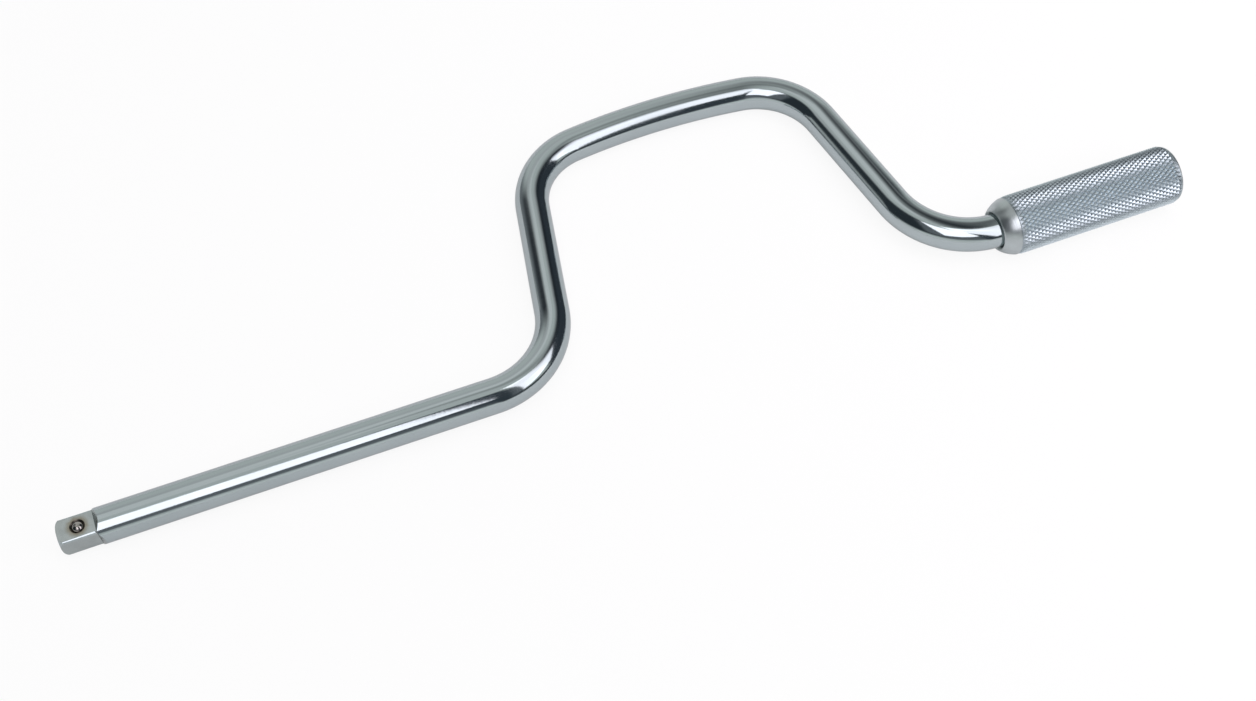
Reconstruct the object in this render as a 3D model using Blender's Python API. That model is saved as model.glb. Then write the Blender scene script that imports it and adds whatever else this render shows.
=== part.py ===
"""A speed handle: a cranked drive bar with a sprung ball in its square end and a free-turning grip.

The shank and the grip share the X axis. The square's end face is at the origin, the crank bows towards +Y
in the XY plane, and the ball looks out of the square's +Z flat. All lengths are in metres.
"""

import math

import bmesh
import bpy
from mathutils import Matrix, Vector

# Bar: one round rod, bent four times in one plane, with a bowed hand bar
BAR_DIAMETER = 0.0132
SHANK_LENGTH = 0.1825  # square end to the first corner of the centre line
CRANK_BASE = 0.1497  # first corner to last corner, along the axis
CRANK_THROW = 0.0990  # axis to the crest of the hand bar's centre line
LEG_ANGLE = math.radians(79.2)  # of each leg against the axis
LOWER_BEND_RADIUS = 0.0320  # of the centre line, between the axis and a leg
UPPER_BEND_RADIUS = 0.0294  # of the centre line, between a leg and the hand bar
HAND_BAR_RADIUS = 0.286  # of the centre line, along the hand bar's bow

# Square drive end
SQUARE_SIDE = 0.0095
SQUARE_LENGTH = 0.0131  # end face to the foot of the shoulder
SHOULDER_ANGLE = math.radians(48)  # the shoulder's slanted wall against the flat
LEAD_LENGTH = 0.0026  # rounded lead-in at the tip
LEAD_END_DIAMETER = 0.0084

# Ball and spring in the square
BALL_DIAMETER = 0.0046
BALL_FROM_END = 0.0074
BALL_PROTRUSION = 0.00095
MOUTH_DEPTH = 0.0006  # of the staked lip that keeps the ball in
BORE_FLOOR = 0.0014  # metal left under the bore
SPRING_WIRE = 0.0005
SPRING_PITCH = 0.0010

# Grip sleeve
GRIP_DIAMETER = 0.0233
GRIP_LENGTH = 0.0757
NOSE_LENGTH = 0.0089  # rounded nose, from the lip to the full diameter
NECK_RIM = 0.00065  # width of the flat lip round the neck's hole
NECK_DEPTH = 0.0097  # lip to the front bush's seat
BEND_RUN_IN = 0.0010  # tail of the last bend that lies inside the neck
REAR_EDGE = 0.0008  # rounding of the rear edge

# Bearings and what holds the grip on
SPINDLE_STEP = 0.0016  # radial step from the bar down to the spindle
SPINDLE_TAIL = 0.0025  # behind the ring's groove
SPINDLE_CHAMFER = 0.0006
BUSH_WALL = 0.0032
BUSH_LENGTH = 0.0120
REAR_STEP = 0.0005  # radial step of the sleeve's rear bore
WASHER_THICKNESS = 0.0015
RING_THICKNESS = 0.0010
RING_WIDTH = 0.0022
RING_OPENING = math.radians(50)
GROOVE_DEPTH = 0.0005
PLUG_LENGTH = 0.0060
PLUG_RECESS = 0.0008
PLUG_DOME = 0.0012

# Clearances
SEAT_GAP = 0.0003  # between faces that bear on each other
RUN_GAP = 0.00015  # radial, between the spindle and its bushes
PRESS_GAP = 0.00015  # radial, between a pressed-in piece and its bore
NECK_GAP = 0.0008  # radial, between the bar and the neck's hole
WASHER_GAP = 0.0008  # radial, between a washer and the bore round it
RING_GAP = 0.0002  # on each side of the ring in its groove
BALL_GAP = 0.00025  # between the ball and its bore, and at the lip
SPRING_GAP = 0.0006  # radial, between the spring and the bore
TAIL_GAP = 0.0008  # between the spindle's end and the plug

# Fineness of the meshes
BAR_SIDES = 32
BEND_STEPS = 10
BOW_STEPS = 6
TURNED_SIDES = 48
BORE_SIDES = 24
ARC_STEPS = 6
BALL_SUBDIVISIONS = 3
POINTS_PER_TURN = 9
SHARP_ANGLE = math.radians(30)
CUTTER_MARGIN = 0.002
MERGE_DISTANCE = 1e-7

# Sizes worked out from those above
bar_radius = BAR_DIAMETER / 2
half_side = SQUARE_SIDE / 2
shoulder_top = SQUARE_LENGTH + (bar_radius - half_side) / math.tan(SHOULDER_ANGLE)
bend_tangent = LOWER_BEND_RADIUS * math.tan(LEG_ANGLE / 2)
neck_x = SHANK_LENGTH + CRANK_BASE + bend_tangent - BEND_RUN_IN

# Where a leg ends and how far the hand bar turns, from the first corner: an upper bend's centre lies a
# bend radius beside its leg, and a bend radius within the hand bar's arc
leg_way = Vector((math.cos(LEG_ANGLE), math.sin(LEG_ANGLE)))
leg_side = Vector((math.sin(LEG_ANGLE), -math.cos(LEG_ANGLE)))
bow_reach = HAND_BAR_RADIUS - UPPER_BEND_RADIUS
bow_centre = Vector((CRANK_BASE / 2, CRANK_THROW - HAND_BAR_RADIUS)) - leg_side * UPPER_BEND_RADIUS
bow_foot = bow_centre.dot(leg_way)
leg_end = bow_foot + math.sqrt(bow_foot**2 - bow_centre.length_squared + bow_reach**2)
half_bow = math.asin((bow_centre - leg_way * leg_end).x / bow_reach)

ball_radius = BALL_DIAMETER / 2
ball_depth = ball_radius - BALL_PROTRUSION
ball_bore_radius = ball_radius + BALL_GAP
mouth_radius = math.sqrt(ball_radius**2 - ball_depth**2) + BALL_GAP
bore_depth = SQUARE_SIDE - BORE_FLOOR
wire_radius = SPRING_WIRE / 2
coil_radius = ball_bore_radius - SPRING_GAP - wire_radius
ball_to_coil = math.sqrt((ball_radius + wire_radius + SEAT_GAP) ** 2 - coil_radius**2)

grip_radius = GRIP_DIAMETER / 2
neck_radius = bar_radius + NECK_GAP
lip_radius = neck_radius + NECK_RIM
spindle_radius = bar_radius - SPINDLE_STEP
bearing_radius = spindle_radius + RUN_GAP
front_bush_radius = bearing_radius + BUSH_WALL
front_bore_radius = front_bush_radius + PRESS_GAP
rear_bore_radius = front_bore_radius + REAR_STEP
rear_bush_radius = rear_bore_radius - PRESS_GAP
groove_radius = spindle_radius - GROOVE_DEPTH
ring_radius = groove_radius + PRESS_GAP

# Places along the grip, measured from its lip
front_bush_start = NECK_DEPTH + SEAT_GAP
front_washer_start = front_bush_start - SEAT_GAP - WASHER_THICKNESS
spindle_start = front_washer_start - SEAT_GAP
plug_start = GRIP_LENGTH - PLUG_RECESS - PLUG_LENGTH
spindle_end = plug_start - TAIL_GAP
groove_end = spindle_end - SPINDLE_TAIL
groove_start = groove_end - RING_THICKNESS - 2 * RING_GAP
ring_start = groove_start + RING_GAP
rear_washer_start = ring_start - SEAT_GAP - WASHER_THICKNESS
rear_bush_start = rear_washer_start - SEAT_GAP - BUSH_LENGTH
rear_seat = rear_bush_start - SEAT_GAP


def clear_scene():
    """Remove every object that the file starts with."""
    for old in list(bpy.data.objects):
        bpy.data.objects.remove(old, do_unlink=True)


def make_finish(name, colour, metallic, roughness):
    """Make one Principled material."""
    finish = bpy.data.materials.new(name)
    finish.use_nodes = True
    shader = finish.node_tree.nodes["Principled BSDF"]
    shader.inputs["Base Color"].default_value = (*colour, 1.0)
    shader.inputs["Metallic"].default_value = metallic
    shader.inputs["Roughness"].default_value = roughness
    finish.diffuse_color = (*colour, 1.0)
    return finish


def add_empty(name, location):
    """Add an empty that carries the pieces of one moving group."""
    empty = bpy.data.objects.new(name, None)
    empty.location = location
    bpy.context.scene.collection.objects.link(empty)
    return empty


def add_object(name, data, parent, location=(0, 0, 0), finish=None):
    """Link a mesh or a curve into the scene as a child of an empty."""
    made = bpy.data.objects.new(name, data)
    made.parent = parent
    made.location = location
    if finish:
        data.materials.append(finish)
    bpy.context.scene.collection.objects.link(made)
    return made


def finished_mesh(name, bm):
    """Turn a bmesh into a mesh with smooth round faces and sharp edges."""
    bmesh.ops.recalc_face_normals(bm, faces=bm.faces)
    mesh = bpy.data.meshes.new(name)
    bm.to_mesh(mesh)
    bm.free()
    mesh.shade_smooth()
    mesh.set_sharp_from_angle(angle=SHARP_ANGLE)
    return mesh


def add_cutter(target, name, mesh, location):
    """Cut a hidden solid out of an object."""
    cutter = add_object(name, mesh, target.parent, location)
    cutter.hide_render = True
    cutter.display_type = "WIRE"
    cut = target.modifiers.new(name, "BOOLEAN")
    cut.operation = "DIFFERENCE"
    cut.object = cutter


def tangent_arc(length, start_radius, end_radius):
    """Points (x, radius) of an arc that rises over a length and ends level, at the larger radius."""
    rise = end_radius - start_radius
    arc_radius = (length**2 + rise**2) / (2 * rise)
    sweep = math.atan2(length, arc_radius - rise)
    points = []
    for step in range(ARC_STEPS + 1):
        left = sweep * (1 - step / ARC_STEPS)
        run = length - arc_radius * math.sin(left)
        points.append((run, end_radius - arc_radius * (1 - math.cos(left))))
    return points


def turned_mesh(name, outline, axis, sides, turn=math.tau):
    """Spin an outline of (distance, radius) points about an axis, closed on itself or ending on it."""
    along = Vector(axis)
    out = along.orthogonal().normalized()
    bm = bmesh.new()
    ring = [bm.verts.new(along * distance + out * radius) for distance, radius in outline]
    ends_on_axis = outline[0][1] == 0 and outline[-1][1] == 0
    pairs = list(zip(ring, ring[1:])) if ends_on_axis else list(zip(ring, ring[1:] + ring[:1]))
    edges = [bm.edges.new(pair) for pair in pairs]
    if turn == math.tau:
        bmesh.ops.spin(bm, geom=ring + edges, axis=along, angle=turn, steps=sides, use_merge=True)
    else:
        face = bm.faces.new(ring)
        bmesh.ops.spin(bm, geom=[face], axis=along, angle=turn, steps=round(sides * turn / math.tau))
    bmesh.ops.remove_doubles(bm, verts=bm.verts, dist=MERGE_DISTANCE)
    return finished_mesh(name, bm)


def pull(bm, face, step, scale=1.0):
    """Draw the bar's leading face on by a step, and scale it about its centre."""
    face = bmesh.ops.extrude_discrete_faces(bm, faces=[face])["faces"][0]
    centre = face.calc_center_median()
    bmesh.ops.scale(bm, verts=face.verts, vec=(scale,) * 3, space=Matrix.Translation(-centre))
    bmesh.ops.translate(bm, verts=face.verts, vec=step)
    return face


def bend(bm, face, heading, turn, radius, steps=BEND_STEPS):
    """Bend the bar in the XY plane, and return its leading face and new heading."""
    side = Matrix.Rotation(math.copysign(math.pi / 2, turn), 3, "Z") @ heading
    centre = face.calc_center_median() + side * radius
    made = bmesh.ops.spin(bm, geom=[face], cent=centre, axis=(0, 0, 1), angle=turn, steps=steps)
    bmesh.ops.delete(bm, geom=[face], context="FACES_ONLY")
    face = next(item for item in made["geom_last"] if isinstance(item, bmesh.types.BMFace))
    return face, Matrix.Rotation(turn, 3, "Z") @ heading


def bar_mesh():
    """The whole bar before its flats are cut: lead-in, shank, crank, spindle and ring groove."""
    lead = tangent_arc(LEAD_LENGTH, LEAD_END_DIAMETER / 2, bar_radius)
    bm = bmesh.new()
    (first_x, first_radius), (second_x, second_radius) = lead[:2]
    bmesh.ops.create_cone(
        bm,
        cap_ends=True,
        segments=BAR_SIDES,
        radius1=first_radius,
        radius2=second_radius,
        depth=second_x - first_x,
        matrix=Matrix.Translation(((first_x + second_x) / 2, 0, 0)) @ Matrix.Rotation(math.pi / 2, 4, "Y"),
    )
    face = max(bm.faces, key=lambda one: one.calc_center_median().x)
    heading = Vector((1, 0, 0))
    for (x, radius), (next_x, next_radius) in zip(lead[1:], lead[2:]):
        face = pull(bm, face, heading * (next_x - x), next_radius / radius)
    shank_start = shoulder_top + CUTTER_MARGIN
    face = pull(bm, face, heading * (shank_start - LEAD_LENGTH))

    face = pull(bm, face, heading * (SHANK_LENGTH - bend_tangent - shank_start))
    face, heading = bend(bm, face, heading, LEG_ANGLE, LOWER_BEND_RADIUS)
    face = pull(bm, face, heading * (leg_end - bend_tangent))
    face, heading = bend(bm, face, heading, half_bow - LEG_ANGLE, UPPER_BEND_RADIUS)
    face, heading = bend(bm, face, heading, -2 * half_bow, HAND_BAR_RADIUS, BOW_STEPS)
    face, heading = bend(bm, face, heading, half_bow - LEG_ANGLE, UPPER_BEND_RADIUS)
    face = pull(bm, face, heading * (leg_end - bend_tangent))
    face, heading = bend(bm, face, heading, LEG_ANGLE, LOWER_BEND_RADIUS)

    spindle = (
        (spindle_start - BEND_RUN_IN, 1),
        (0, spindle_radius / bar_radius),
        (groove_start - spindle_start, 1),
        (0, groove_radius / spindle_radius),
        (groove_end - groove_start, 1),
        (0, spindle_radius / groove_radius),
        (SPINDLE_TAIL - SPINDLE_CHAMFER, 1),
        (SPINDLE_CHAMFER, 1 - SPINDLE_CHAMFER / spindle_radius),
    )
    for length, scale in spindle:
        face = pull(bm, face, heading * length, scale)
    return finished_mesh("crank_bar", bm)


def flats_cutter_mesh():
    """A block whose square hole leaves the square, and flares at the back to leave the shoulder."""
    outer = bar_radius + CUTTER_MARGIN
    flare = (outer - half_side) / math.tan(SHOULDER_ANGLE)
    rings = (
        (-CUTTER_MARGIN, outer),
        (SQUARE_LENGTH + flare, outer),
        (SQUARE_LENGTH, half_side),
        (-CUTTER_MARGIN, half_side),
    )
    bm = bmesh.new()
    loops = []
    for x, half in rings:
        corners = [bm.verts.new((x, half * y, half * z)) for y, z in ((1, 1), (-1, 1), (-1, -1), (1, -1))]
        loops.append([bm.edges.new(pair) for pair in zip(corners, corners[1:] + corners[:1])])
    for loop, following in zip(loops, loops[1:] + loops[:1]):
        bmesh.ops.bridge_loops(bm, edges=loop + following)
    return finished_mesh("flats_cutter", bm)


def ball_bore_cutter_mesh():
    """The ball's bore, measured down from the flat, drawn in at its mouth by the staked lip."""
    outline = (
        (-CUTTER_MARGIN, 0),
        (-CUTTER_MARGIN, mouth_radius),
        (0, mouth_radius),
        (MOUTH_DEPTH, ball_bore_radius),
        (bore_depth, ball_bore_radius),
        (bore_depth, 0),
    )
    return turned_mesh("ball_bore_cutter", outline, (0, 0, -1), BORE_SIDES)


def add_crank_bar(frame, chrome):
    """The bar with its square and the ball's bore cut."""
    bar = add_object("crank_bar", bar_mesh(), frame, finish=chrome)
    add_cutter(bar, "flats_cutter", flats_cutter_mesh(), (0, 0, 0))
    add_cutter(bar, "ball_bore_cutter", ball_bore_cutter_mesh(), (BALL_FROM_END, 0, half_side))


def add_ball(bore_axis, steel):
    """The ball, with its own centre as its origin."""
    bm = bmesh.new()
    bmesh.ops.create_icosphere(bm, subdivisions=BALL_SUBDIVISIONS, radius=ball_radius)
    add_object("detent_ball", finished_mesh("detent_ball", bm), bore_axis, (0, 0, -ball_depth), steel)


def least_self_gap(points):
    """The smallest gap between two turns of the spring's wire."""
    half_turn = POINTS_PER_TURN // 2
    pairs = ((a, b) for i, a in enumerate(points) for b in points[i + half_turn :])
    return min((a - b).length for a, b in pairs) - SPRING_WIRE


def add_spring(bore_axis, steel):
    """The open coil under the ball, from the bore's floor to the ball's underside."""
    bottom = SEAT_GAP + wire_radius - bore_depth
    top = -ball_depth - ball_to_coil
    turns = (top - bottom) / SPRING_PITCH
    count = math.ceil(turns * POINTS_PER_TURN)
    points = []
    for index in range(count + 1):
        share = index / count
        angle = math.tau * turns * share
        height = bottom + (top - bottom) * share
        points.append(Vector((coil_radius * math.cos(angle), coil_radius * math.sin(angle), height)))
    curve = bpy.data.curves.new("detent_spring", "CURVE")
    curve.dimensions = "3D"
    curve.bevel_depth = wire_radius
    curve.bevel_resolution = 1
    curve.use_fill_caps = True
    spline = curve.splines.new("POLY")
    spline.points.add(count)
    for place, point in zip(spline.points, points):
        place.co = (*point, 1)
    add_object("detent_spring", curve, bore_axis, finish=steel)
    print(f"detent_spring: least gap between turns {least_self_gap(points) * 1000:.2f} mm")


def add_sleeve(grip_axis, steel):
    """The hollow grip: rounded nose, stepped bore and open rear end."""
    nose = tangent_arc(NOSE_LENGTH, lip_radius, grip_radius)
    edge = tangent_arc(REAR_EDGE, grip_radius - REAR_EDGE, grip_radius)
    rear = [(GRIP_LENGTH - x, radius) for x, radius in reversed(edge)]
    inside = [
        (GRIP_LENGTH, rear_bore_radius),
        (rear_seat, rear_bore_radius),
        (rear_seat, front_bore_radius),
        (NECK_DEPTH, front_bore_radius),
        (NECK_DEPTH, neck_radius),
        (0, neck_radius),
    ]
    mesh = turned_mesh("grip_sleeve", nose + rear + inside, (1, 0, 0), TURNED_SIDES)
    add_object("grip_sleeve", mesh, grip_axis, finish=steel)


def add_ring_shape(name, grip_axis, start, length, inner, outer, finish, turn=math.tau):
    """A plain ring on the grip's axis, or part of one."""
    outline = [(0, inner), (0, outer), (length, outer), (length, inner)]
    mesh = turned_mesh(name, outline, (1, 0, 0), TURNED_SIDES, turn)
    add_object(name, mesh, grip_axis, (start, 0, 0), finish)


def add_bearings(grip_axis, bronze):
    """The two bushes pressed into the sleeve."""
    add_ring_shape(
        "front_bush", grip_axis, front_bush_start, BUSH_LENGTH, bearing_radius, front_bush_radius, bronze
    )
    add_ring_shape(
        "rear_bush", grip_axis, rear_bush_start, BUSH_LENGTH, bearing_radius, rear_bush_radius, bronze
    )


def add_retainers(grip_axis, plain_steel, spring_steel):
    """The thrust washers on the spindle, and the open ring that snaps into its groove."""
    washers = (
        ("front_thrust_washer", front_washer_start, neck_radius),
        ("rear_thrust_washer", rear_washer_start, rear_bore_radius),
    )
    for name, start, bore in washers:
        outer = bore - WASHER_GAP
        add_ring_shape(name, grip_axis, start, WASHER_THICKNESS, bearing_radius, outer, plain_steel)
    add_ring_shape(
        "retaining_ring",
        grip_axis,
        ring_start,
        RING_THICKNESS,
        ring_radius,
        ring_radius + RING_WIDTH,
        spring_steel,
        math.tau - RING_OPENING,
    )


def add_plug(grip_axis, steel):
    """The domed plug that closes the sleeve's rear end."""
    dome = tangent_arc(rear_bush_radius, PLUG_LENGTH - PLUG_DOME, PLUG_LENGTH)
    outline = [(0, 0), (0, rear_bush_radius)]
    outline += [(height, rear_bush_radius - run) for run, height in dome]
    mesh = turned_mesh("end_plug", outline, (1, 0, 0), TURNED_SIDES)
    add_object("end_plug", mesh, grip_axis, (plug_start, 0, 0), steel)


def main():
    """Build the handle."""
    clear_scene()
    chrome = make_finish("polished_chrome", (0.62, 0.64, 0.63), 1.0, 0.08)
    satin = make_finish("satin_chrome", (0.58, 0.60, 0.61), 1.0, 0.32)
    dark_steel = make_finish("dark_steel", (0.20, 0.19, 0.18), 1.0, 0.18)
    plain_steel = make_finish("plain_steel", (0.48, 0.48, 0.47), 1.0, 0.35)
    spring_steel = make_finish("spring_steel", (0.30, 0.30, 0.31), 1.0, 0.38)
    bronze = make_finish("bronze", (0.55, 0.36, 0.16), 1.0, 0.40)

    frame = add_empty("handle_frame", (0, 0, 0))
    bore_axis = add_empty("ball_bore_axis", (BALL_FROM_END, 0, half_side))
    grip_axis = add_empty("grip_axis", (neck_x, 0, 0))
    bore_axis.parent = frame
    grip_axis.parent = frame

    add_crank_bar(frame, chrome)
    add_ball(bore_axis, dark_steel)
    add_spring(bore_axis, spring_steel)
    add_sleeve(grip_axis, satin)
    add_bearings(grip_axis, bronze)
    add_retainers(grip_axis, plain_steel, spring_steel)
    add_plug(grip_axis, satin)


main()
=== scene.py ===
"""Looks of a speed handle: a chromed crank bar, a sprung ball in its square end and a knurled grip.

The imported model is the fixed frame. Every piece here is modelled in that frame, in metres, stands for one
of its nodes and moves with that node's body.
"""

import logging
import math
from collections.abc import Iterable, Sequence
from dataclasses import dataclass
from enum import Enum, IntEnum

import bmesh
import bpy
from bmesh.types import BMEdge, BMesh, BMFace, BMVert
from bpy.types import ID, Material, NodeSocket, NodeTree, Object
from mathutils import Matrix, Vector


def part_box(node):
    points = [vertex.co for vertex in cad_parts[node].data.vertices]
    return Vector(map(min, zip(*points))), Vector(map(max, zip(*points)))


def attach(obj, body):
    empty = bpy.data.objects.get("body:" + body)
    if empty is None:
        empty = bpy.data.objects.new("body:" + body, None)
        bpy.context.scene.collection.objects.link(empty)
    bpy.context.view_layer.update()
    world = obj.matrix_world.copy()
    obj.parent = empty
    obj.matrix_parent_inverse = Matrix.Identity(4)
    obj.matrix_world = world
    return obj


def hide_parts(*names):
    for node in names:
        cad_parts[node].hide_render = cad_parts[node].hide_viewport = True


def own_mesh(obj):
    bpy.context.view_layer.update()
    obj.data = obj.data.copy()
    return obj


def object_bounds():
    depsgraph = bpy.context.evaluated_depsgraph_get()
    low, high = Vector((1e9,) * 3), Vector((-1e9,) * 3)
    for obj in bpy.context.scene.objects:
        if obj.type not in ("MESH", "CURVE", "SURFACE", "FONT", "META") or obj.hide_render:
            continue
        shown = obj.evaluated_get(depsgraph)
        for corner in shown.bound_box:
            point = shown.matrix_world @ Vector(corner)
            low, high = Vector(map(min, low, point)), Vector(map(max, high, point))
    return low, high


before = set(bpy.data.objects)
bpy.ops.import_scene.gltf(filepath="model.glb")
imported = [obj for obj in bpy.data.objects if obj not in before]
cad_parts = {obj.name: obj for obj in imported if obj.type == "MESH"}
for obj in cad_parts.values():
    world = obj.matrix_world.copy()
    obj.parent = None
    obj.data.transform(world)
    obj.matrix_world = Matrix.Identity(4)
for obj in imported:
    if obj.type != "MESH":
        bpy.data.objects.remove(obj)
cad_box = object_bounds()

Colour = tuple[float, float, float]
Outline = list[tuple[float, float]]

MERGE_DISTANCE = 1e-7
TOLERANCE = 10 * MERGE_DISTANCE
X_AXIS = Vector((1, 0, 0))
Z_AXIS = Vector((0, 0, 1))
FINE_DETAIL = 3.0
WHITE = (1.0, 1.0, 1.0)

log = logging.getLogger("speed_handle")


class Body(Enum):
    """The bodies of the frame that pieces move with."""

    CRANK = "crank"
    BALL = "ball"
    GRIP = "grip"


class Grain(Enum):
    """Which way the tool marks of a finish run, as how far a mark stretches along X, Y and Z."""

    EVEN = (1.0, 1.0, 1.0)
    ROUND = (1.0, 30.0, 30.0)


class BarFace(IntEnum):
    """The finishes of the crank bar, by material number."""

    PLATED = 0
    MILLED = 1


class SleeveFace(IntEnum):
    """The finishes of the sleeve, by material number."""

    TURNED = 0
    KNURLED = 1


class MixSocket(IntEnum):
    """The sockets that a Mix node uses for colours, by number, because their names repeat."""

    SHARE = 0
    FIRST = 6
    SECOND = 7
    RESULT = 2


class Signal:
    """A shader value: one output socket, with arithmetic that adds the nodes it needs."""

    def __init__(self, sheet: "NodeSheet", socket: NodeSocket) -> None:
        """Keep the socket and the sheet it is on."""
        self.sheet = sheet
        self.socket = socket

    def maths(self, operation: str, *terms: "Signal | float") -> "Signal":
        """Add one Math node.

        Args:
            operation: The node's operation.
            terms: Its inputs in order.

        Returns:
            The node's result.
        """
        return self.sheet.add("ShaderNodeMath", {"operation": operation}, dict(enumerate(terms)))

    def __add__(self, other: "Signal | float") -> "Signal":
        """Return self + other."""
        return self.maths("ADD", self, other)

    def __sub__(self, other: "Signal | float") -> "Signal":
        """Return self - other."""
        return self.maths("SUBTRACT", self, other)

    def __rsub__(self, other: float) -> "Signal":
        """Return other - self."""
        return self.maths("SUBTRACT", other, self)

    def __mul__(self, other: "Signal | float") -> "Signal":
        """Return self * other."""
        return self.maths("MULTIPLY", self, other)

    def __truediv__(self, other: "Signal | float") -> "Signal":
        """Return self / other."""
        return self.maths("DIVIDE", self, other)

    def __neg__(self) -> "Signal":
        """Return the value with its sign turned."""
        return self.maths("MULTIPLY", self, -1.0)

    def __abs__(self) -> "Signal":
        """Return the value without its sign."""
        return self.maths("ABSOLUTE", self)

    __radd__ = __add__
    __rmul__ = __mul__

    def length_with(self, other: "Signal") -> "Signal":
        """Return the length of the vector (self, other)."""
        square = self * self + other * other
        return square.maths("SQRT", square)

    def ramp(self, low: float, high: float) -> "Signal":
        """Rise smoothly from 0 to 1 between two values, or fall where low is above high.

        Args:
            low: The value that gives 0.
            high: The value that gives 1.

        Returns:
            The share, between 0 and 1.
        """
        settings = {"interpolation_type": "SMOOTHSTEP", "clamp": True}
        ends = {"From Min": min(low, high), "From Max": max(low, high)}
        rising = self.sheet.add("ShaderNodeMapRange", settings, {"Value": self, **ends})
        return rising if low < high else 1.0 - rising

    def window(self, low: float, high: float, soft: float) -> "Signal":
        """Return 1 between two values, with soft edges outside them."""
        return self.ramp(low - soft, low) * self.ramp(high + soft, high)

    def within(self, half: float, soft: float) -> "Signal":
        """Return 1 nearer to 0 than half, with a soft edge whose middle lies at half."""
        return abs(self).ramp(half + soft / 2, half - soft / 2)

    def output(self, name: str) -> "Signal":
        """Return another output of the same node."""
        return Signal(self.sheet, self.socket.node.outputs[name])


class NodeSheet:
    """The node tree of one material or of the world."""

    def __init__(self, tree: NodeTree) -> None:
        """Start on an empty tree."""
        self.tree = tree
        tree.nodes.clear()

    def add(
        self,
        kind: str,
        settings: dict[str, object] | None = None,
        sockets: dict[str | int, object] | None = None,
        output: str | int = 0,
    ) -> Signal | None:
        """Add a node.

        Args:
            kind: The node's type.
            settings: Its properties, which are set first.
            sockets: Values or signals for its inputs, by name or number.
            output: The output to return.

        Returns:
            The chosen output, or None where the node has no outputs.
        """
        node = self.tree.nodes.new(kind)
        for name, value in (settings or {}).items():
            setattr(node, name, value)
        for key, value in (sockets or {}).items():
            if isinstance(value, Signal):
                self.tree.links.new(value.socket, node.inputs[key])
            else:
                node.inputs[key].default_value = value
        return Signal(self, node.outputs[output]) if node.outputs else None

    def place(
        self,
        size: float = 1.0,
        stretch: Sequence[float] = (1.0, 1.0, 1.0),
        centre: Sequence[float] = (0.0, 0.0, 0.0),
        turn: Sequence[float] = (0.0, 0.0, 0.0),
    ) -> Signal:
        """Give the object's own coordinates, centred, turned and counted in a pattern's size.

        Args:
            size: The length that counts as 1.
            stretch: How many such lengths count as 1 along X, Y and Z.
            centre: The point that counts as 0.
            turn: How the pattern is turned, as Euler angles.

        Returns:
            The coordinates.
        """
        sockets = {
            "Vector": self.add("ShaderNodeTexCoord", output="Object"),
            "Location": tuple(centre),
            "Rotation": tuple(turn),
            "Scale": tuple(size * part for part in stretch),
        }
        return self.add("ShaderNodeMapping", {"vector_type": "TEXTURE"}, sockets)

    def axes(self, vector: Signal) -> tuple[Signal, Signal, Signal]:
        """Return the X, Y and Z of a vector."""
        x = self.add("ShaderNodeSeparateXYZ", None, {"Vector": vector}, "X")
        return x, x.output("Y"), x.output("Z")

    def noise(self, place: Signal, detail: float = 2.0) -> Signal:
        """Return a cloudy value about 0.5, with features as large as the place's size."""
        sockets = {"Vector": place, "Scale": 1.0, "Detail": detail}
        return self.add("ShaderNodeTexNoise", None, sockets, "Fac")

    def blend(self, share: Signal, first: "Signal | Colour", second: "Signal | Colour") -> Signal:
        """Mix two colours.

        Args:
            share: How much of the second colour shows.
            first: The colour where share is 0.
            second: The colour where share is 1.

        Returns:
            The mixed colour.
        """
        sockets = {MixSocket.SHARE: share}
        for socket, colour in ((MixSocket.FIRST, first), (MixSocket.SECOND, second)):
            sockets[socket] = colour if isinstance(colour, Signal) else (*colour, 1.0)
        return self.add("ShaderNodeMix", {"data_type": "RGBA"}, sockets, MixSocket.RESULT)

    def glow(self, colour: Colour) -> Signal:
        """Return a shader that shows a colour in any light."""
        return self.add("ShaderNodeEmission", None, {"Color": (*colour, 1.0), "Strength": 1.0})

    def cover(self, share: Signal, below: Signal, above: Signal) -> Signal:
        """Return a shader that lies over another one by a share."""
        return self.add("ShaderNodeMixShader", None, dict(enumerate((share, below, above))))

    def show(self, shader: Signal) -> None:
        """Make a shader the material's surface."""
        self.add("ShaderNodeOutputMaterial", None, {"Surface": shader})


def new_material(name: str) -> tuple[Material, NodeSheet]:
    """Return a new material and the empty sheet of its nodes."""
    material = bpy.data.materials.new(name)
    material.use_nodes = True
    return material, NodeSheet(material.node_tree)


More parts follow.
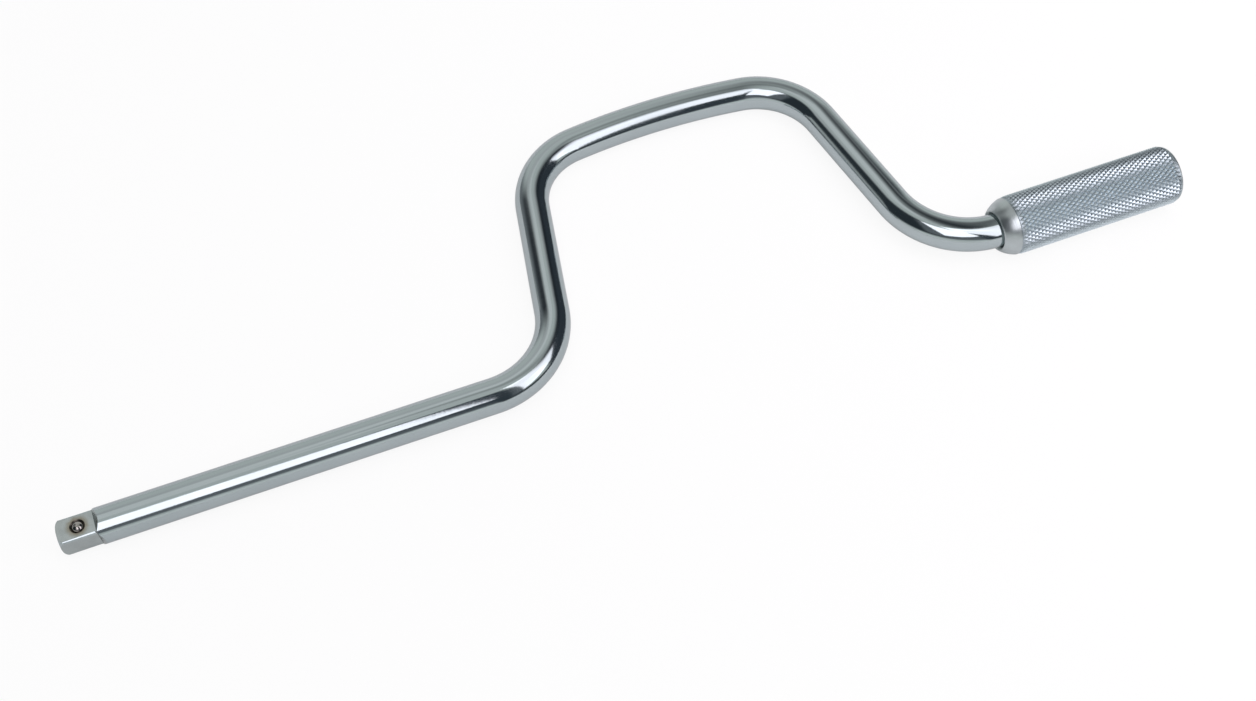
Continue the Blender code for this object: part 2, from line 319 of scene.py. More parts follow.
@dataclass(frozen=True)
class MetalFinish:
    """A metal with a cloudy gloss and fine tool marks.

    Attributes:
        name: The material's name.
        colour: Its reflected colour.
        shade: The colour in its duller clouds.
        roughness: The least and the most roughness.
        cloud_size: The size of the clouds.
        grain_size: How wide a tool mark is.
        grain_depth: How deep a tool mark is.
        grain: Which way the tool marks run.
        edge_tint: How bright it is at a glancing angle.
        cloud_detail: How finely the clouds break up.
        cloud_range: The noise where clouds begin and where they are full.
        cloud_share: How much of the roughness comes from clouds, and not from tool marks.
    """

    name: str
    colour: Colour
    shade: Colour
    roughness: tuple[float, float]
    cloud_size: float
    grain_size: float
    grain_depth: float
    grain: Grain = Grain.EVEN
    edge_tint: float = 0.8
    cloud_detail: float = 4.0
    cloud_range: tuple[float, float] = (0.30, 0.70)
    cloud_share: float = 0.6

    def weather(self, sheet: NodeSheet, colour: Signal, roughness: Signal) -> tuple[Signal, Signal]:
        """Add marks that only this finish has.

        Args:
            sheet: The material's nodes.
            colour: The colour so far.
            roughness: The roughness so far.

        Returns:
            The colour and the roughness with the marks.
        """
        return colour, roughness

    def make(self) -> Material:
        """Return the finish as a material."""
        material, sheet = new_material(self.name)
        clouds = sheet.noise(sheet.place(self.cloud_size), self.cloud_detail).ramp(*self.cloud_range)
        marks = sheet.noise(sheet.place(self.grain_size, self.grain.value))
        low, high = self.roughness
        uneven = self.cloud_share * clouds + (1 - self.cloud_share) * marks
        plain = sheet.blend(clouds, self.colour, self.shade)
        colour, roughness = self.weather(sheet, plain, low + (high - low) * uneven)
        bump = {"Height": marks, "Strength": 1.0, "Distance": self.grain_depth}
        sockets = {
            "Base Color": colour,
            "Metallic": 1.0,
            "Roughness": roughness,
            "Specular Tint": (*(self.edge_tint,) * 3, 1.0),
            "Normal": sheet.add("ShaderNodeBump", None, bump),
        }
        sheet.show(sheet.add("ShaderNodeBsdfPrincipled", None, sockets))
        return material


@dataclass(frozen=True, kw_only=True)
class DriveSteel(MetalFinish):
    """The milled flats of the square, stained where the ball's hole was staked.

    Attributes:
        hole: The middle of the hole on its flat.
        stain: The stain's colour.
        stain_radius: How far the stain reaches.
        stain_edge: Where the stain ends and where it is full, in stain radii.
        stain_share: How much of the stain's colour shows.
        stain_roughness: How much rougher the stain is.
        ragged: How far the stain's edge wanders, in stain radii.
        patch_size: How large the stain's patches are.
        below: Where the stain ends and starts under the flat, in stain radii.
        pit_shade: The near-black colour painted in the hole's mouth, as painted shade of the gap round the
            ball.
        pit_shade_radius: How far that painted shade reaches.
        pit_shade_edge: How soft its edge is, as a share of its radius.
    """

    hole: tuple[float, float, float]
    stain: Colour
    stain_radius: float
    stain_edge: tuple[float, float] = (1.05, 0.55)
    stain_share: float = 0.9
    stain_roughness: float = 0.08
    ragged: float = 0.3
    patch_size: float = 0.0015
    below: tuple[float, float] = (-0.3, -0.05)
    pit_shade: Colour
    pit_shade_radius: float
    pit_shade_edge: float = 0.08

    def weather(self, sheet: NodeSheet, colour: Signal, roughness: Signal) -> tuple[Signal, Signal]:
        """Add the brown halo round the hole, and painted shade in its mouth."""
        x, y, z = sheet.axes(sheet.place(self.stain_radius, centre=self.hole))
        reach = x.length_with(y)
        patchy = sheet.noise(sheet.place(self.patch_size), FINE_DETAIL)
        above = z.ramp(*self.below)
        halo = (reach + self.ragged * (patchy - 0.5)).ramp(*self.stain_edge) * above * self.stain_share
        edge = self.pit_shade_radius / self.stain_radius
        # painted shade: the hole's mouth round the ball is painted near-black
        pit_shade = reach.ramp((1 + self.pit_shade_edge) * edge, (1 - self.pit_shade_edge) * edge) * above
        stained = sheet.blend(halo, colour, self.stain)
        return sheet.blend(pit_shade, stained, self.pit_shade), roughness + self.stain_roughness * halo


@dataclass(frozen=True, kw_only=True)
class KnurlSteel(MetalFinish):
    """The rolled knurl, darker low in its grooves from dirt and painted shade, so the tips stay brighter.

    Attributes:
        root_radius: The radius of the grooves' floors.
        tip_radius: The radius of the tips.
        grime_and_shade: The colour low in the grooves, which stands for dirt and painted shade.
        grime_and_shade_height: How far up from the floor it reaches, as a share of the depth.
        grime_and_shade_share: How much of its colour shows.
        grime_roughness: How much rougher it is.
    """

    root_radius: float
    tip_radius: float
    grime_and_shade: Colour
    grime_and_shade_height: float = 0.55
    grime_and_shade_share: float = 0.9
    grime_roughness: float = 0.1

    def weather(self, sheet: NodeSheet, colour: Signal, roughness: Signal) -> tuple[Signal, Signal]:
        """Darken the grooves by how deep they are, as dirt and painted shade."""
        _, y, z = sheet.axes(sheet.place())
        top = self.root_radius + self.grime_and_shade_height * (self.tip_radius - self.root_radius)
        depth = y.length_with(z).ramp(top, self.root_radius)
        # painted shade and dirt: the grooves darken by how deep they are
        dirty_and_shaded = sheet.blend(depth * self.grime_and_shade_share, colour, self.grime_and_shade)
        return dirty_and_shaded, roughness + self.grime_roughness * depth


def tangent_arc(length: float, start_radius: float, end_radius: float, steps: int) -> Outline:
    """Draw an arc that rises over a length and ends level, at the larger radius.

    Args:
        length: How far the arc runs.
        start_radius: The radius where it starts.
        end_radius: The radius where it ends.
        steps: How many chords it has.

    Returns:
        Points (x, radius) along the arc.
    """
    rise = end_radius - start_radius
    arc_radius = (length**2 + rise**2) / (2 * rise)
    sweep = math.atan2(length, arc_radius - rise)
    points = []
    for step in range(steps + 1):
        left = sweep * (1 - step / steps)
        run = length - arc_radius * math.sin(left)
        points.append((run, end_radius - arc_radius * (1 - math.cos(left))))
    return points


def chamfered_ring(start: float, end: float, inner: float, outer: float, chamfer: float) -> Outline:
    """Draw the section of a ring whose four edges are broken.

    Args:
        start: Where it starts along X.
        end: Where it ends along X.
        inner: Its inner radius.
        outer: Its outer radius.
        chamfer: The width of the broken edges.

    Returns:
        Points (x, radius) round the section.
    """
    return [
        (start, inner + chamfer),
        (start, outer - chamfer),
        (start + chamfer, outer),
        (end - chamfer, outer),
        (end, outer - chamfer),
        (end, inner + chamfer),
        (end - chamfer, inner),
        (start + chamfer, inner),
    ]


def turned(outline: Outline, steps: int) -> BMesh:
    """Spin an outline about the X axis, closed on itself or ending on the axis.

    Args:
        outline: Points (x, radius).
        steps: How many sides the turned piece has.

    Returns:
        The closed mesh.
    """
    bm = bmesh.new()
    points = [bm.verts.new((x, 0.0, radius)) for x, radius in outline]
    on_axis = outline[0][1] == 0 and outline[-1][1] == 0
    following = points[1:] if on_axis else points[1:] + points[:1]
    geom = points + [bm.edges.new(pair) for pair in zip(points, following)]
    bmesh.ops.spin(bm, geom=geom, axis=X_AXIS, angle=math.tau, steps=steps, use_merge=True)
    bmesh.ops.remove_doubles(bm, verts=bm.verts, dist=MERGE_DISTANCE)
    return bm


def of_kind(geom: Iterable[object], kind: type) -> list:
    """Pick the vertices, the edges or the faces from what an operator made."""
    return [item for item in geom if isinstance(item, kind)]


def corners(parts: Iterable[BMEdge | BMFace]) -> set[BMVert]:
    """Return the vertices of edges or faces."""
    return {point for part in parts for point in part.verts}


def paint(faces: Iterable[BMFace], finish: int) -> None:
    """Give faces one of their mesh's materials, by number."""
    for face in faces:
        face.material_index = finish


def add_object(name: str, data: ID) -> Object:
    """Add an object to the scene."""
    thing = bpy.data.objects.new(name, data)
    bpy.context.scene.collection.objects.link(thing)
    return thing


def add_mesh(name: str, bm: BMesh, finishes: Sequence[Material]) -> Object:
    """Turn a bmesh into an object.

    Args:
        name: The object's name.
        bm: Its mesh, which is freed.
        finishes: Its materials, by the faces' material numbers.

    Returns:
        The object.
    """
    mesh = bpy.data.meshes.new(name)
    bm.to_mesh(mesh)
    bm.free()
    for finish in finishes:
        mesh.materials.append(finish)
    return add_object(name, mesh)


def new_piece(
    name: str,
    bm: BMesh,
    finishes: Sequence[Material],
    body: Body,
    node: str,
    crease: float = math.radians(30),
) -> Object:
    """Turn a bmesh into a piece that stands for a node and moves with a body.

    Args:
        name: The piece's name.
        bm: Its mesh, which is freed.
        finishes: Its materials, by the faces' material numbers.
        body: The body that it moves with.
        node: The node that it stands for.
        crease: The angle from which an edge is sharp.

    Returns:
        The piece's object.
    """
    bmesh.ops.recalc_face_normals(bm, faces=bm.faces)
    for face in bm.faces:
        face.smooth = True
    piece = add_mesh(name, bm, finishes)
    piece.data.set_sharp_from_angle(angle=crease)
    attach(piece, body.value)
    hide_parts(node)
    log.info("%s: %d faces, for %s on %s", name, len(piece.data.polygons), node, body.value)
    return piece


@dataclass
class CrankBar:
    """The bent bar with its square drive end and the spindle inside the grip."""

    radius: float = 0.0066
    shank_length: float = 0.1825
    crank_base: float = 0.1497
    crank_throw: float = 0.0990
    leg_angle: float = math.radians(79.2)
    lower_bend_radius: float = 0.0320
    upper_bend_radius: float = 0.0294
    hand_bar_radius: float = 0.286
    bend_run_in: float = 0.0010
    half_side: float = 0.00475
    square_length: float = 0.0131
    shoulder_angle: float = math.radians(48)
    lead_length: float = 0.0026
    lead_end_radius: float = 0.0042
    spindle_start: float = 0.0079
    spindle_end: float = 0.0681
    spindle_radius: float = 0.0050
    spindle_chamfer: float = 0.0006
    groove_start: float = 0.0642
    groove_end: float = 0.0656
    groove_radius: float = 0.0045
    hole_from_end: float = 0.0074
    mouth_radius: float = 0.00211
    lip_depth: float = 0.0004
    bore_depth: float = 0.0009
    hole_radius: float = 0.00255
    hole_depth: float = 0.0081
    sides: int = 96
    bend_steps: int = 36
    bow_steps: int = 24
    lead_steps: int = 12
    hole_sides: int = 64
    support: float = 0.002  # short straights beside the bends, which keep their shading clean
    cutter_share: float = 0.75  # of half_side, past which a face looks the cutter's way
    corner_radius: float = 0.0009
    corner_steps: int = 6
    sink_margin: float = 0.0004
    sink_radius: float = 0.00262
    sink_depth: float = 0.0003
    crease: float = math.radians(15)

    @property
    def bend_tangent(self) -> float:
        """Length of bar that each half of a lower bend takes from a straight."""
        return self.lower_bend_radius * math.tan(self.leg_angle / 2)

    @property
    def shoulder_top(self) -> float:
        """Where the slanted shoulder meets the round bar."""
        return self.square_length + (self.radius - self.half_side) / math.tan(self.shoulder_angle)

    def pull(self, bm: BMesh, face: BMFace, step: Vector, scale: float = 1.0) -> BMFace:
        """Draw the bar's leading face on.

        Args:
            bm: The bar.
            face: The leading face.
            step: How far it goes.
            scale: How much it grows about its own centre.

        Returns:
            The new leading face.
        """
        face = bmesh.ops.extrude_discrete_faces(bm, faces=[face])["faces"][0]
        space = Matrix.Translation(-face.calc_center_median())
        bmesh.ops.scale(bm, verts=face.verts, vec=(scale,) * 3, space=space)
        bmesh.ops.translate(bm, verts=face.verts, vec=step)
        return face

    def bend(
        self, bm: BMesh, face: BMFace, heading: Vector, turn: float, radius: float, steps: int
    ) -> tuple[BMFace, Vector]:
        """Bend the bar in the XY plane.

        Args:
            bm: The bar.
            face: The leading face.
            heading: Which way the bar runs.
            turn: The bend's angle, positive to the left.
            radius: The radius of its centre line.
            steps: How many straight lengths stand for it.

        Returns:
            The new leading face and heading.
        """
        side = Matrix.Rotation(math.copysign(math.pi / 2, turn), 3, "Z") @ heading
        centre = face.calc_center_median() + side * radius
        made = bmesh.ops.spin(bm, geom=[face], cent=centre, axis=Z_AXIS, angle=turn, steps=steps)
        bmesh.ops.delete(bm, geom=[face], context="FACES_ONLY")
        return of_kind(made["geom_last"], BMFace)[0], Matrix.Rotation(turn, 3, "Z") @ heading

    def leg_and_bow(self) -> tuple[float, float]:
        """Fit the upper bends between the legs and the bowed hand bar.

        Returns:
            The length of a leg's straight, and half the angle that the hand bar turns.
        """
        sine, cosine = math.sin(self.leg_angle), math.cos(self.leg_angle)
        reach = self.hand_bar_radius - self.upper_bend_radius
        across = self.crank_base / 2 - self.upper_bend_radius * sine
        below = self.crank_throw - self.hand_bar_radius + self.upper_bend_radius * cosine
        foot = across * cosine + below * sine
        leg_end = foot + math.sqrt(foot**2 - across**2 - below**2 + reach**2)
        half_bow = math.asin((across - leg_end * cosine) / reach)
        return leg_end - self.bend_tangent, half_bow

    def round_bar(self) -> BMesh:
        """Draw the whole bar before its flats are milled."""
        lead = tangent_arc(self.lead_length, self.lead_end_radius, self.radius, self.lead_steps)
        bm = bmesh.new()
        (first_x, first_radius), (second_x, second_radius) = lead[:2]
        upright = Matrix.Rotation(math.pi / 2, 4, "Y")
        bmesh.ops.create_cone(
            bm,
            cap_ends=True,
            segments=self.sides,
            radius1=first_radius,
            radius2=second_radius,
            depth=second_x - first_x,
            matrix=Matrix.Translation(((first_x + second_x) / 2, 0, 0)) @ upright,
        )
        face = max(bm.faces, key=lambda one: one.calc_center_median().x)
        heading = X_AXIS
        for (x, radius), (next_x, next_radius) in zip(lead[1:], lead[2:]):
            face = self.pull(bm, face, heading * (next_x - x), next_radius / radius)

        shank_start = self.shoulder_top + self.support
        face = self.pull(bm, face, heading * (shank_start - self.lead_length))
        leg, half_bow = self.leg_and_bow()
        lower = (self.leg_angle, self.lower_bend_radius, self.bend_steps)
        upper = (half_bow - self.leg_angle, self.upper_bend_radius, self.bend_steps)
        bow = (-2 * half_bow, self.hand_bar_radius, self.bow_steps)
        shank = self.shank_length - self.bend_tangent - shank_start
        for straight, bends in ((shank, (lower,)), (leg, (upper, bow, upper)), (leg, (lower,))):
            for length in (self.support, straight - 2 * self.support, self.support):
                face = self.pull(bm, face, heading * length)
            for turn, radius, steps in bends:
                face, heading = self.bend(bm, face, heading, turn, radius, steps)

        spindle = (
            (self.spindle_start - self.bend_run_in, 1),
            (0, self.spindle_radius / self.radius),
            (self.groove_start - self.spindle_start, 1),
            (0, self.groove_radius / self.spindle_radius),
            (self.groove_end - self.groove_start, 1),
            (0, self.spindle_radius / self.groove_radius),
            (self.spindle_end - self.groove_end - self.spindle_chamfer, 1),
            (self.spindle_chamfer, 1 - self.spindle_chamfer / self.spindle_radius),
        )
        for length, scale in spindle:
            face = self.pull(bm, face, heading * length, scale)
        return bm

    def mill_flat(self, bm: BMesh, quarters: float, height: float) -> None:
        """Mill one flat along the square, with its slanted shoulder.

        Args:
            bm: The bar.
            quarters: Which way it faces, in quarter turns about X from the top.
            height: How far it lies from the bar's axis.
        """
        up = Matrix.Rotation(quarters * math.pi / 2, 3, "X") @ Z_AXIS
        foot = X_AXIS * self.square_length + up * height
        wall = X_AXIS * math.sin(self.shoulder_angle) - up * math.cos(self.shoulder_angle)
        limit = self.shoulder_top + self.support

        def near(face: BMFace) -> bool:
            """Tell whether a face of the bar's end looks this way."""
            middle = face.calc_center_median()
            return middle.x < limit and middle.dot(up) > self.cutter_share * self.half_side

        def ahead(face: BMFace) -> bool:
            """Tell whether a face lies on the tip's side of the shoulder."""
            return (face.calc_center_median() - foot).dot(wall) < 0

        def rise(place: Vector) -> float:
            """Return how far a place lies above the flat."""
            return (place - foot).dot(up)

        def cut(faces: list[BMFace], normal: Vector) -> None:
            """Split faces along a plane through the shoulder's foot."""
            edges = {edge for face in faces for edge in face.edges}
            geom = [*corners(faces), *edges, *faces]
            bmesh.ops.bisect_plane(bm, geom=geom, dist=MERGE_DISTANCE, plane_co=foot, plane_no=normal)

        cut([face for face in bm.faces if near(face)], wall)
        end = [face for face in bm.faces if near(face) and ahead(face)]
        cut(end, up)
        end = [face for face in bm.faces if near(face) and ahead(face)]
        waste = [face for face in end if rise(face.calc_center_median()) > 0]
        bmesh.ops.delete(bm, geom=waste, context="FACES")
        rim = [edge for edge in bm.edges if edge.is_boundary]
        level = [edge for edge in rim if all(abs(rise(point.co)) < TOLERANCE for point in edge.verts)]
        slanted = [edge for edge in rim if edge not in level]
        heel = bm.edges.new(tuple(corners(level) & corners(slanted)))
        for border in (slanted, level):
            made = bmesh.ops.contextual_create(bm, geom=border + [heel])
            paint(made["faces"], BarFace.MILLED)

    def mill_square(self, bm: BMesh) -> None:
        """Mill the four corners and flats, round the corners and bore the top flat for the ball."""
        diagonal = math.sqrt(2)
        corner = diagonal * self.half_side - (diagonal - 1) * self.corner_radius
        for side in range(4):
            self.mill_flat(bm, side + 0.5, corner)
        for side in range(4):
            self.mill_flat(bm, side, self.half_side)
        self.round_corners(bm)

        def on_top(face: BMFace) -> bool:
            """Tell whether a face lies level with the top flat."""
            return abs(face.calc_center_median().z - self.half_side) < MERGE_DISTANCE

        top = max(filter(on_top, bm.faces), key=BMFace.calc_area)
        rim = list(top.edges)
        bmesh.ops.delete(bm, geom=[top], context="FACES_ONLY")
        self.bore_hole(bm, rim)

    def round_corners(self, bm: BMesh) -> None:
        """Round the long edges between the flats and the milled corners, which are plated."""
        long_edges = [
            edge
            for edge in bm.edges
            if max(point.co.x for point in edge.verts) < self.shoulder_top
            and abs(edge.verts[0].co.x - edge.verts[1].co.x) > self.square_length / 2
        ]
        made = bmesh.ops.bevel(
            bm,
            geom=long_edges,
            offset=self.corner_radius * math.tan(math.pi / 8) - MERGE_DISTANCE,
            affect="EDGES",
            segments=self.corner_steps,
            profile=0.5,
            material=-1,
            clamp_overlap=False,
        )
        paint(made["faces"], BarFace.PLATED)

    def bore_hole(self, bm: BMesh, rim: list[BMEdge]) -> None:
        """Close the top flat round the ball's hole, and sink the hole with its worn mouth.

        Args:
            bm: The bar.
            rim: The edges round the open flat.
        """
        centre = Vector((self.hole_from_end, 0, self.half_side))
        steps = (
            (self.sink_radius + self.sink_margin, 0.0),
            (self.sink_radius, 0.0),
            (self.mouth_radius, self.sink_depth),
            (self.mouth_radius, self.lip_depth),
            (self.hole_radius, self.bore_depth),
            (self.hole_radius, self.hole_depth),
        )
        radius, depth = steps[0]
        place = Matrix.Translation(centre)
        made = bmesh.ops.create_circle(bm, segments=self.hole_sides, radius=radius, matrix=place)
        ring = list({edge for point in made["verts"] for edge in point.link_edges})
        filled = bmesh.ops.triangle_fill(bm, use_beauty=True, edges=rim + ring, normal=Z_AXIS)
        flat = of_kind(filled["geom"], BMFace)
        for next_radius, next_depth in steps[1:]:
            made = bmesh.ops.extrude_edge_only(bm, edges=ring)
            points = of_kind(made["geom"], BMVert)
            share = next_radius / radius
            bmesh.ops.scale(bm, verts=points, vec=(share, share, 1), space=Matrix.Translation(-centre))
            bmesh.ops.translate(bm, verts=points, vec=Z_AXIS * (depth - next_depth))
            flat += of_kind(made["geom"], BMFace)
            ring = [edge for edge in of_kind(made["geom"], BMEdge) if set(edge.verts) <= set(points)]
            radius, depth = next_radius, next_depth
        flat += bmesh.ops.contextual_create(bm, geom=ring)["faces"]
        paint(flat, BarFace.MILLED)

    def build(self, chrome: Material, milled: Material) -> Object:
        """Model the bar.

        Args:
            chrome: The plated finish of the bar.
            milled: The finish of the square's flats.

        Returns:
            The piece.
        """
        bm = self.round_bar()
        self.mill_square(bm)
        finishes = (chrome, milled)
        return new_piece("plated_bar", bm, finishes, Body.CRANK, "crank_bar", self.crease)


@dataclass
class Detent:
    """The ball in the square and the coil spring under it."""

    bar: CrankBar
    ball_radius: float = 0.0023
    protrusion: float = 0.00095
    wire_radius: float = 0.00025
    ball_subdivisions: int = 5
    points_per_turn: int = 24
    wire_sides: int = 12
    pitch: float = 0.0010

    def build_ball(self, steel: Material) -> Object:
        """Model the ball where it rests against its lip."""
        bm = bmesh.new()
        height = self.bar.half_side + self.protrusion - self.ball_radius
        place = Matrix.Translation((self.bar.hole_from_end, 0, height))
        bmesh.ops.create_icosphere(
            bm, subdivisions=self.ball_subdivisions, radius=self.ball_radius, matrix=place
        )
        return new_piece("polished_ball", bm, (steel,), Body.BALL, "detent_ball")

    def build_spring(self, steel: Material) -> Object:
        """Model the spring at its length in the frame; the real one shortens as the ball goes in."""
        low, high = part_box("detent_spring")
        middle = (low + high) / 2
        length = high.z - low.z
        coil_radius = (high.x - low.x) / 2 - self.wire_radius
        rise = length - 2 * self.wire_radius
        turns = rise / self.pitch
        steps = round(turns * self.points_per_turn)
        bm = bmesh.new()
        start = Vector((middle.x + coil_radius, middle.y, low.z + self.wire_radius))
        place = Matrix.Translation(start) @ Matrix.Rotation(math.pi / 2, 4, "X")
        made = bmesh.ops.create_circle(
            bm, cap_ends=True, segments=self.wire_sides, radius=self.wire_radius, matrix=place
        )
        bmesh.ops.spin(
            bm,
            geom=[made["verts"][0].link_faces[0]],
            cent=(middle.x, middle.y, 0),
            axis=Z_AXIS,
            dvec=Z_AXIS * (rise / steps),
            angle=math.tau * turns,
            steps=steps,
        )
        spring = new_piece("wound_spring", bm, (steel,), Body.CRANK, "detent_spring")
        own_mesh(spring)
        return spring


@dataclass
class Grip:
    """The knurled sleeve that turns on the spindle, and what holds it there."""

    nose_length: float = 0.0089
    neck_rim: float = 0.00065
    neck_radius: float = 0.0074
    neck_depth: float = 0.0097
    front_bore_radius: float = 0.0085
    rear_bore_radius: float = 0.0090
    rear_seat: float = 0.0500
    rear_edge: float = 0.0008
    throat_radius: float = 0.00675
    throat_start: float = 0.0008
    throat_end: float = 0.0024
    plain_nose: float = 0.00565
    groove_width: float = 0.00045
    groove_depth: float = 0.00085
    knurl_depth: float = 0.00060
    knurl_tip: float = 0.00009
    knurls_round: int = 42
    knurl_length: float = 0.00305
    nose_steps: int = 24
    turned_from: float = 0.0009
    turned_to: float = 0.0042
    turned_depth: float = 0.00002
    edge_steps: int = 5
    lip_round: float = 0.0002
    crease: float = math.radians(22)
    plug_dome: float = 0.0012
    plug_steps: int = 16
    dimple_radius: float = 0.0008
    dimple_land: float = 0.0001
    dimple_drop: float = 0.00005
    dimple_depth: float = 0.0006
    bearing_radius: float = 0.00515
    chamfer: float = 0.0003
    sides: int = 96

    def __post_init__(self) -> None:
        """Take the sleeve's place and outer size from the frame."""
        low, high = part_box("grip_sleeve")
        self.start = low.x
        self.length = high.x - low.x
        self.radius = high.z
        self.knurl_start = self.plain_nose + self.groove_width
        run = self.length - self.rear_edge - self.knurl_start
        self.knurl_rows = 2 * round(run / self.knurl_length)
        self.row_pitch = run / self.knurl_rows

    def skin(self, run: float) -> float:
        """Return the sleeve's outer radius at a distance behind its lip."""
        rise = self.radius - self.neck_radius - self.neck_rim
        arc_radius = (self.nose_length**2 + rise**2) / (2 * rise)
        left = max(self.nose_length - run, 0.0)
        return self.radius - arc_radius + math.sqrt(arc_radius**2 - left**2)

    def root(self, run: float) -> float:
        """Return the radius of the knurl's grooves at a distance behind the lip."""
        return self.skin(run) - self.knurl_depth

    def row_run(self, row: int) -> float:
        """Return how far behind the lip a row of the knurl lies."""
        return self.knurl_start + row * self.row_pitch

    def sleeve_outline(self) -> Outline:
        """Draw the sleeve's section: nose, knurl rows at their roots, rear edge and stepped bore."""
        outline = [(0.0, self.neck_radius + self.neck_rim - self.lip_round)]
        for step in range(1, self.nose_steps + 1):
            run = self.plain_nose * step / self.nose_steps
            marked = step % 2 and self.turned_from < run < self.turned_to
            outline.append((run, self.skin(run) - (self.turned_depth if marked else 0.0)))
        groove = self.skin(self.plain_nose) - self.groove_depth
        outline += [(self.plain_nose, groove), (self.knurl_start, groove)]
        runs = [self.row_run(row) for row in range(self.knurl_rows + 1)]
        outline += [(run, self.root(run)) for run in runs]
        floor = self.root(self.length)
        edge = tangent_arc(self.rear_edge, floor - self.rear_edge, floor, self.edge_steps)
        outline += [(self.length - x, radius) for x, radius in reversed(edge[:-1])]
        outline += [
            (self.length, self.rear_bore_radius),
            (self.rear_seat, self.rear_bore_radius),
            (self.rear_seat, self.front_bore_radius),
            (self.neck_depth, self.front_bore_radius),
            (self.neck_depth, self.neck_radius),
            (self.throat_end, self.neck_radius),
            (self.throat_end, self.throat_radius),
            (self.throat_start, self.throat_radius),
            (0.0, self.neck_radius + self.lip_round),
        ]
        return [(self.start + run, radius) for run, radius in outline]

    def roll_knurl(self, bm: BMesh) -> None:
        """Raise every other point of the knurl's grid, and split its faces along the grooves."""
        columns = 2 * self.knurls_round
        rows: list[list[BMVert]] = [[] for _ in range(self.knurl_rows + 1)]
        roots = []
        for point in bm.verts:
            radius = math.hypot(point.co.y, point.co.z)
            run = point.co.x - self.start
            row = round((run - self.knurl_start) / self.row_pitch)
            if not 0 <= row <= self.knurl_rows or abs(radius - self.root(run)) > TOLERANCE:
                continue
            column = round(math.atan2(point.co.y, point.co.z) / math.tau * columns)
            inside = 0 < row < self.knurl_rows
            (rows[row] if inside and (row + column) % 2 else roots).append(point)
        bmesh.ops.connect_verts(bm, verts=roots)
        for row, points in enumerate(rows):
            run = self.row_run(row)
            share = self.skin(run) / self.root(run)
            bmesh.ops.scale(bm, verts=points, vec=(1, share, share))
        bmesh.ops.bevel(
            bm,
            geom=[point for points in rows for point in points],
            offset=self.knurl_tip,
            affect="VERTICES",
            segments=1,
            profile=0.5,
            material=-1,
            clamp_overlap=True,
        )

    def build_sleeve(self, satin: Material, knurled: Material) -> Object:
        """Model the sleeve with its knurl.

        Args:
            satin: The finish of the turned nose and the rear edge.
            knurled: The finish of the knurl.

        Returns:
            The piece.
        """
        bm = turned(self.sleeve_outline(), 2 * self.knurls_round)
        self.roll_knurl(bm)

        def rolled(face: BMFace) -> bool:
            """Tell whether a face is one of the knurl's."""
            middle = face.calc_center_median()
            run = middle.x - self.start
            outside = math.hypot(middle.y, middle.z) > self.root(run) - self.knurl_depth
            return outside and self.plain_nose < run < self.length - self.rear_edge

        paint(bm.faces, SleeveFace.TURNED)
        paint(filter(rolled, bm.faces), SleeveFace.KNURLED)
        finishes = (satin, knurled)
        return new_piece(
            "knurled_sleeve", bm, finishes, Body.GRIP, "grip_sleeve", self.crease
        )

    def build_plug(self, satin: Material) -> Object:
        """Model the domed plug in the sleeve's rear end, with the dimple of its turning centre."""
        low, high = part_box("end_plug")
        radius = high.z
        dome = tangent_arc(radius, high.x - self.plug_dome, high.x, self.plug_steps)
        land = self.dimple_radius + self.dimple_land
        outline = [(low.x, 0), (low.x, radius - self.chamfer), (low.x + self.chamfer, radius)]
        outline += [(x, radius - run) for run, x in dome if radius - run > land]
        outline += [(high.x - self.dimple_drop, self.dimple_radius), (high.x - self.dimple_depth, 0)]
        bm = turned(outline, self.sides)
        return new_piece("domed_plug", bm, (satin,), Body.GRIP, "end_plug")

    def build_rings(self, bronze: Material, steel: Material) -> None:
        """Model the bushes and thrust washers inside the sleeve.

        Args:
            bronze: The bushes' finish.
            steel: The washers' finish.
        """
        rings = (
            ("front_bush", Body.GRIP, bronze, "bush_bronze"),
            ("rear_bush", Body.GRIP, bronze, "bush_bronze"),
            ("front_thrust_washer", Body.CRANK, steel, "washer_steel"),
            ("rear_thrust_washer", Body.CRANK, steel, "washer_steel"),
        )
        for node, body, finish, slot in rings:
            low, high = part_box(node)
            outline = chamfered_ring(low.x, high.x, self.bearing_radius, high.z, self.chamfer)
            new_piece(f"turned_{node}", turned(outline, self.sides), (finish,), body, node)


def way_to(bearing: float, height: float) -> Vector:
    """Return the unit vector of a direction.

    Args:
        bearing: Degrees from straight in front, towards +X.
        height: Degrees above the plane of the crank.

    Returns:
        The direction.
    """
    turn, rise = math.radians(bearing), math.radians(height)
    level = math.cos(rise)
    return Vector((math.sin(turn) * level, -math.cos(turn) * level, math.sin(rise)))


def looking_back(bearing: float, height: float, roll: float = 0.0) -> Matrix:
    """Return the turn of a lamp, a camera or a panel whose back looks in a direction.

    Args:
        bearing: The direction's bearing in degrees.
        height: The direction's height in degrees.
        roll: Degrees about the direction.

    Returns:
        A turn whose columns point across, up and back.
    """
    back = way_to(bearing, height)
    across = Z_AXIS.cross(back).normalized()
    level = Matrix((across, back.cross(across), back)).transposed()
    return level @ Matrix.Rotation(math.radians(roll), 3, "Z")


